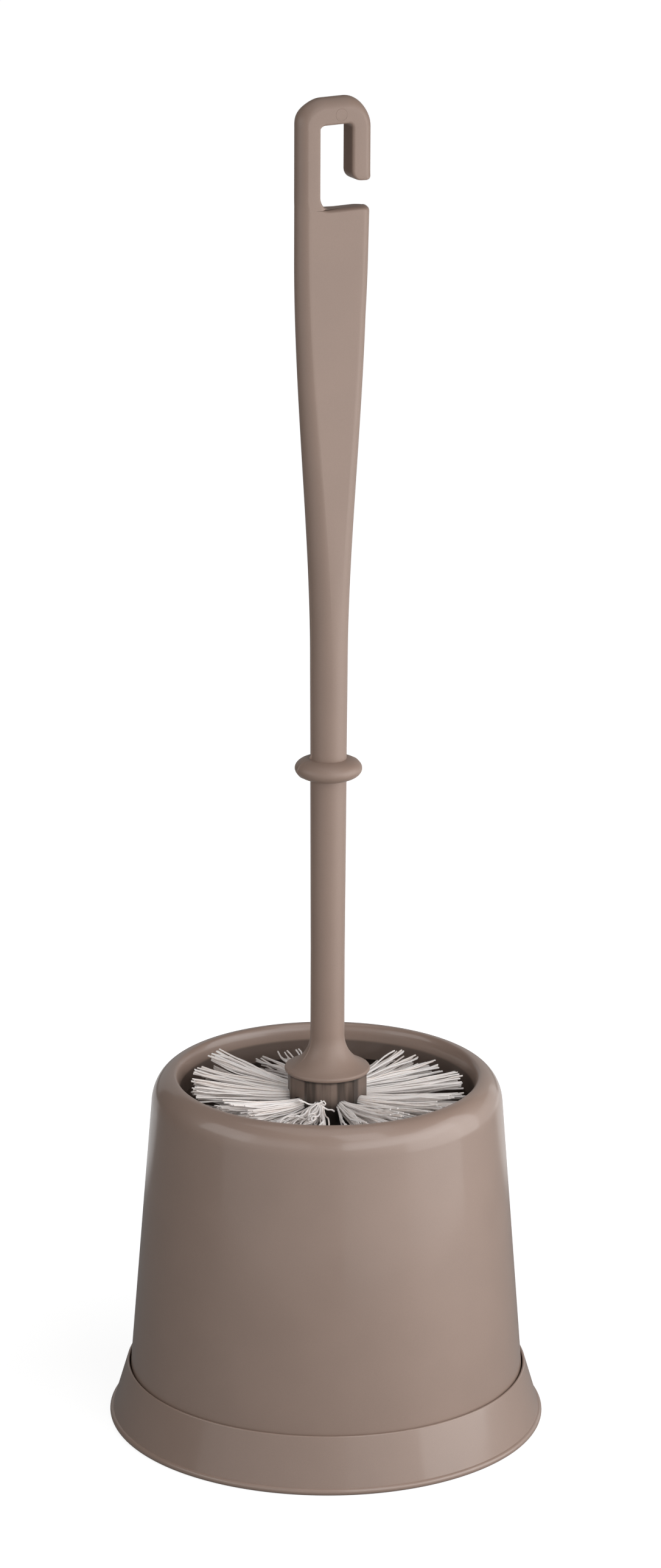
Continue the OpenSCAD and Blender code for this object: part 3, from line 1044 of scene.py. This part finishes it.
def add_tuft(name, shape, finish, replaced=()):
    """Makes a tuft's object and stores each bristle's tint."""
    verts, faces, tints = shape
    piece = add_piece(
        name, (verts.tolist(), faces), bristle_finish(finish), "brush", replaced
    )
    tint = piece.data.attributes.new("tint", "FLOAT", "POINT")
    tint.data.foreach_set("value", tints)


def facet_distance():
    """Distance from the axis to the middle of each of the core's facets."""
    return CORE_BOX[1].x * math.cos(math.pi / COLUMNS)


def side_tuft_pose(node):
    """Root, direction, reach and trim radius of a side tuft, from its CAD node's box."""
    low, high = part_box(node)
    centre = (low + high) / 2
    axis = Vector((centre.x, centre.y, 0)).normalized()
    facet = facet_distance()
    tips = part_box("tuft_row1_col3")[1].y
    return axis * facet + Vector((0, 0, centre.z)), axis, tips - facet, tips


def end_tuft_poses():
    """Roots, directions and reach of the end tufts: one in the middle and a ring round it."""
    core_end = CORE_BOX[0].z
    reach = core_end - END_BOX[0].z - END_CLEARANCE
    bevel = facet_distance() - FLAT_RADIUS
    poses = [(Vector((0, 0, core_end)), Vector((0, 0, -1)), reach, None)]
    for i in range(END_RING):
        turned = (i + 0.5) * 2 * math.pi / END_RING
        out = Vector((math.cos(turned), math.sin(turned), 0))
        root = out * (FLAT_RADIUS + bevel / 2) + Vector((0, 0, core_end + bevel / 2))
        poses.append((root, (out - Vector((0, 0, 1))).normalized(), reach, None))
    return poses


# Operators


class BuilderOperator(bpy.types.Operator):
    """Base of the operators that build one piece each."""

    bl_options = {"REGISTER", "UNDO"}


class BRUSHSET_OT_cup(BuilderOperator):
    """Build the tapered cup with its rolled rim"""

    bl_idname = "brushset.cup"
    bl_label = "Cup"

    def execute(self, context):
        settings = context.scene.brush_set
        shape = lathe(cup_outline(settings.cup), ROUND_STEPS)
        plastic = cup_plastic(settings.finish, settings.cup)
        add_moulding("cup", shape, plastic, "holder", "holder_shell")
        return {"FINISHED"}


class BRUSHSET_OT_foot(BuilderOperator):
    """Build the foot: a dish with a flared band and a bead"""

    bl_idname = "brushset.foot"
    bl_label = "Foot"

    def execute(self, context):
        settings = context.scene.brush_set
        shape = lathe(foot_outline(settings.foot, settings.cup), ROUND_STEPS)
        add_moulding("foot", shape, foot_plastic(settings.finish), "holder", "holder_base")
        return {"FINISHED"}


class BRUSHSET_OT_handle(BuilderOperator):
    """Build the handle with its hook, blade, drip ring and bell"""

    bl_idname = "brushset.handle"
    bl_label = "Handle"

    def execute(self, context):
        settings = context.scene.brush_set
        shape = loft(HandleShape(settings.handle).all_sections())
        plastic = handle_plastic(settings.finish)
        add_moulding("handle_moulding", shape, plastic, "brush", "handle")
        return {"FINISHED"}


class BRUSHSET_OT_core(BuilderOperator):
    """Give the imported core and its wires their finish"""

    bl_idname = "brushset.core"
    bl_label = "Core and wires"

    def execute(self, context):
        finish = context.scene.brush_set.finish
        finishes = {"brush_core": core_plastic(finish), "tuft_anchors": wire_finish(finish)}
        for node, material in finishes.items():
            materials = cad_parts[node].data.materials
            materials.clear()
            materials.append(material)
        return {"FINISHED"}


class BRUSHSET_OT_side_tufts(BuilderOperator):
    """Build the tufts around the core, one object for each"""

    bl_idname = "brushset.side_tufts"
    bl_label = "Side tufts"

    def execute(self, context):
        settings = context.scene.brush_set
        bristles = settings.bristles
        spread = (bristles.fan, bristles.depth)
        for number, node in enumerate(SIDE_TUFTS):
            lift, wave = 0.0, 1.0
            if "_row1_" in node:
                column = int(node.rsplit("col", 1)[1])
                lift, wave = TOP_ROW_LIFT[column - 1] * MM, TOP_ROW_WAVE[column - 1]
            shape = tuft_shape(
                side_tuft_pose(node), spread, bristles, bristles.seed + number, lift, wave
            )
            add_tuft(node.replace("tuft", "bristles"), shape, settings.finish, [node])
        return {"FINISHED"}


class BRUSHSET_OT_strays(BuilderOperator):
    """Build the few bristles that have come out of line"""

    bl_idname = "brushset.strays"
    bl_label = "Stray bristles"

    def execute(self, context):
        settings = context.scene.brush_set
        shapes = [stray_shape(route, settings.bristles) for route in STRAYS]
        add_tuft("bristles_stray", join(shapes), settings.finish)
        return {"FINISHED"}


class BRUSHSET_OT_mark(BuilderOperator):
    """Build the faint round mark that the mould's pin left on the hook"""

    bl_idname = "brushset.mark"
    bl_label = "Round mark"

    def execute(self, context):
        settings = context.scene.brush_set
        sizes = settings.handle
        line, sunk = 0.12 * MM, 0.08 * MM
        below_top, beside_axis = 5 * MM, 1.7 * MM
        verts, faces = lathe(arc((sizes.mark_radius, 0), line, line, 0, 330, 11), 48)
        middle = Vector((beside_axis, sunk - sizes.thickness / 2, HANDLE_BOX[1].z - below_top))
        shape = ([middle + Vector((x, z, y)) for x, y, z in verts], faces)
        add_piece("hook_mark", shape, handle_plastic(settings.finish), "brush")
        return {"FINISHED"}


class BRUSHSET_OT_end_tufts(BuilderOperator):
    """Build the ring of end tufts and the one in its middle"""

    bl_idname = "brushset.end_tufts"
    bl_label = "End tufts"

    def execute(self, context):
        settings = context.scene.brush_set
        bristles = settings.bristles
        spread = (bristles.end_fan, bristles.end_fan)
        shapes = [
            tuft_shape(pose, spread, bristles, bristles.seed + END_SEED + number)
            for number, pose in enumerate(end_tuft_poses())
        ]
        add_tuft("bristles_end", join(shapes), settings.finish, ["end_tufts"])
        return {"FINISHED"}


# Stage


# Soft lights round the object: name, azimuth in degrees, distance, height of the middle,
# width, height, radiance and the height on the axis that the light faces, all in metres
SOFTBOXES = (
    ("Low right", -44, 0.6, 0.13, 0.437, 0.26, 1.43, 0.13),
    ("Low side", -14, 0.6, 0.13, 0.212, 0.26, 2.17, 0.13),
    ("Low far", 16, 0.6, 0.13, 0.437, 0.26, 0.65, 0.13),
    ("Near left", -142, 0.32, 0.14, 0.49, 0.28, 0.5, 0.14),
    ("Near front", -84.5, 0.32, 0.14, 0.233, 0.28, 0.9, 0.14),
    ("Near right", -44.5, 0.32, 0.14, 0.233, 0.28, 1.15, 0.14),
    ("Left front", -144, 0.6, 0.43, 0.437, 0.34, 0.7, 0.43),
    ("Left", -184, 0.6, 0.43, 0.437, 0.34, 1.83, 0.43),
    ("Right front", -74, 0.6, 0.43, 0.693, 0.34, 2.19, 0.43),
    ("Right", -24, 0.6, 0.43, 0.437, 0.34, 2.34, 0.43),
    ("High right", -84, 0.5, 0.8, 0.364, 0.4, 2.2, 0.2),
    ("Top", 66, 0, 1.3, 1.0, 1.0, 0.79, 0),
    ("Back", 66, 1.0, 0.4, 1.4, 0.7, 0.37, 0.4),
)
FLOOR_REACH = 30.0
FLOOR_ROUGHNESS = 0.6
FLOOR_SPECULAR = 0.2
# How much of the camera's white the floor keeps under the object, and over which distances
# from the axis it rises to all of it
UNDER_OBJECT = 0.86
WHITE_FROM, WHITE_FULL = 0.08, 0.3
# Where glossy rays meet the floor's backdrop: distances behind the object, and the share of
# the distance that must lie straight behind it
BACKDROP_FROM, BACKDROP_FULL = 0.16, 0.24
BACKDROP_FADE, BACKDROP_END = 0.55, 0.75
SECTOR_FROM, SECTOR_FULL = 0.66, 0.8
BACKDROP_LOW, BACKDROP_HIGH = 0.02, 0.65
FAR_BACKDROP = 0.15
WORLD_IN_GLOSS = 0.05
SENSOR_SIDE = 36


def softbox(name, azimuth, distance, height, width, tall, radiance, aim):
    """A soft light with an even radiance that stands at an azimuth and faces the axis."""
    light = bpy.data.lights.new(f"{name} softbox", "AREA")
    light.shape = "RECTANGLE"
    light.size, light.size_y = width, tall
    light.energy = radiance * math.pi * width * tall
    lamp = new_object(light.name, light)
    turned = math.radians(azimuth)
    lamp.location = (distance * math.cos(turned), distance * math.sin(turned), height)
    towards = Vector((0, 0, aim)) - lamp.location
    lamp.rotation_mode = "QUATERNION"
    lamp.rotation_quaternion = towards.to_track_quat("-Z", "Y")
    lamp.visible_camera = False


@named_material("Pale floor")
def floor_finish(tree, shader, stage):
    """A pale floor that is white to the camera away from the object's shadow.

    Glossy and transmitted rays see it white only behind the object, as a backdrop.
    """
    place = place_on(tree)
    away = vector_math(tree, "LENGTH", place)["Value"]
    white = remap(tree, away, WHITE_FROM, WHITE_FULL, UNDER_OBJECT, 1.0)
    back = (-math.sin(stage.camera_azimuth), math.cos(stage.camera_azimuth), 0)
    behind = vector_math(tree, "DOT_PRODUCT", place, back)["Value"]
    sector = calculate(tree, "DIVIDE", behind, away)
    starting = remap(tree, behind, BACKDROP_FROM, BACKDROP_FULL, 0, 1)
    central = remap(tree, sector, SECTOR_FROM, SECTOR_FULL, 0, 1)
    fading = remap(tree, behind, BACKDROP_FADE, BACKDROP_END, 1, FAR_BACKDROP)
    share = calculate(tree, "MULTIPLY", calculate(tree, "MULTIPLY", starting, central), fading)
    backdrop = remap(tree, share, 0, 1, BACKDROP_LOW, BACKDROP_HIGH)
    path = add_node(tree, "ShaderNodeLightPath")
    mirrored = calculate(tree, "MAXIMUM", path["Is Glossy Ray"], path["Is Transmission Ray"])
    glow = calculate(
        tree, "MAXIMUM",
        calculate(tree, "MULTIPLY", path["Is Camera Ray"], white),
        calculate(tree, "MULTIPLY", mirrored, backdrop),
    )
    inputs = {
        "Base Color": tinted(stage.floor),
        "Roughness": FLOOR_ROUGHNESS,
        "Specular IOR Level": FLOOR_SPECULAR,
        "Emission Color": (1, 1, 1, 1),
        "Emission Strength": glow,
    }
    set_inputs(tree, shader, inputs)


class BRUSHSET_OT_stage(BuilderOperator):
    """Set up the floor, the soft lights and the camera"""

    bl_idname = "brushset.stage"
    bl_label = "Stage"

    def execute(self, context):
        stage = context.scene.brush_set.stage
        self.add_floor(stage)
        self.add_world()
        for values in SOFTBOXES:
            softbox(*values)
        self.add_camera(stage)
        context.scene.view_settings.view_transform = "Standard"
        return {"FINISHED"}

    def add_floor(self, stage):
        """One wide square of floor."""
        mesh = bpy.data.meshes.new("floor")
        r = FLOOR_REACH
        mesh.from_pydata([(-r, -r, 0), (r, -r, 0), (r, r, 0), (-r, r, 0)], [], [(0, 1, 2, 3)])
        mesh.materials.append(floor_finish(stage))
        new_object("floor", mesh)

    def add_world(self):
        """A dark world that shows as white to the camera and faintly in reflections."""
        world = bpy.data.worlds.new("Studio")
        world.use_nodes = True
        tree = world.node_tree
        path = add_node(tree, "ShaderNodeLightPath")
        seen = calculate(tree, "MAXIMUM", path["Is Camera Ray"], path["Is Transmission Ray"])
        mirrored = calculate(tree, "MULTIPLY", path["Is Glossy Ray"], WORLD_IN_GLOSS)
        strength = calculate(tree, "MAXIMUM", seen, mirrored)
        inputs = {"Color": (1, 1, 1, 1), "Strength": strength}
        set_inputs(tree, tree.nodes["Background"], inputs)
        bpy.context.scene.world = world

    def add_camera(self, stage):
        """The camera, looking down at the brush from its front left."""
        data = bpy.data.cameras.new("Camera")
        data.sensor_fit = "AUTO"
        data.sensor_width = SENSOR_SIDE
        data.lens = stage.lens
        data.shift_x = stage.shift
        data.clip_start, data.clip_end = 0.01, 100
        camera = new_object("Camera", data)
        turned = stage.camera_azimuth
        camera.location = (
            stage.camera_distance * math.sin(turned),
            -stage.camera_distance * math.cos(turned),
            stage.camera_height,
        )
        aim = (
            Matrix.Rotation(turned, 4, "Z")
            @ Matrix.Rotation(math.pi / 2 - stage.camera_pitch, 4, "X")
            @ Matrix.Rotation(stage.camera_roll, 4, "Z")
        )
        camera.rotation_mode = "QUATERNION"
        camera.rotation_quaternion = aim.to_quaternion()
        bpy.context.scene.camera = camera


OPERATORS = (
    BRUSHSET_OT_cup,
    BRUSHSET_OT_foot,
    BRUSHSET_OT_handle,
    BRUSHSET_OT_core,
    BRUSHSET_OT_mark,
    BRUSHSET_OT_side_tufts,
    BRUSHSET_OT_end_tufts,
    BRUSHSET_OT_strays,
    BRUSHSET_OT_stage,
)


def own_keys(group):
    """Names of a group's own settings."""
    return [key for key in group.bl_rna.properties.keys() if key not in {"rna_type", "name"}]


class BRUSHSET_PT_sidebar(bpy.types.Panel):
    """Lists the operators and settings in the sidebar"""

    bl_idname = "BRUSHSET_PT_sidebar"
    bl_label = "Brush Set"
    bl_space_type = "VIEW_3D"
    bl_region_type = "UI"
    bl_category = "Brush Set"

    def draw(self, context):
        for operator in OPERATORS:
            self.layout.operator(operator.bl_idname)
        settings = context.scene.brush_set
        for part in own_keys(settings):
            group = getattr(settings, part)
            box = self.layout.box()
            box.label(text=settings.bl_rna.properties[part].name)
            for key in own_keys(group):
                box.prop(group, key)


CLASSES = (
    FootSettings,
    CupSettings,
    HandleSettings,
    BristleSettings,
    FinishSettings,
    StageSettings,
    BrushSet,
    *OPERATORS,
    BRUSHSET_PT_sidebar,
)


def register():
    """Registers the classes and the settings."""
    for cls in CLASSES:
        bpy.utils.register_class(cls)
    bpy.types.Scene.brush_set = PointerProperty(
        type=BrushSet, name="Brush set", description="Settings of the brush and its holder"
    )


def unregister():
    """Removes the settings and the classes."""
    del bpy.types.Scene.brush_set
    for cls in reversed(CLASSES):
        bpy.utils.unregister_class(cls)


def main():
    """Builds everything."""
    register()
    for operator in OPERATORS:
        package, name = operator.bl_idname.split(".")
        getattr(getattr(bpy.ops, package), name)()


if __name__ == "__main__":
    main()
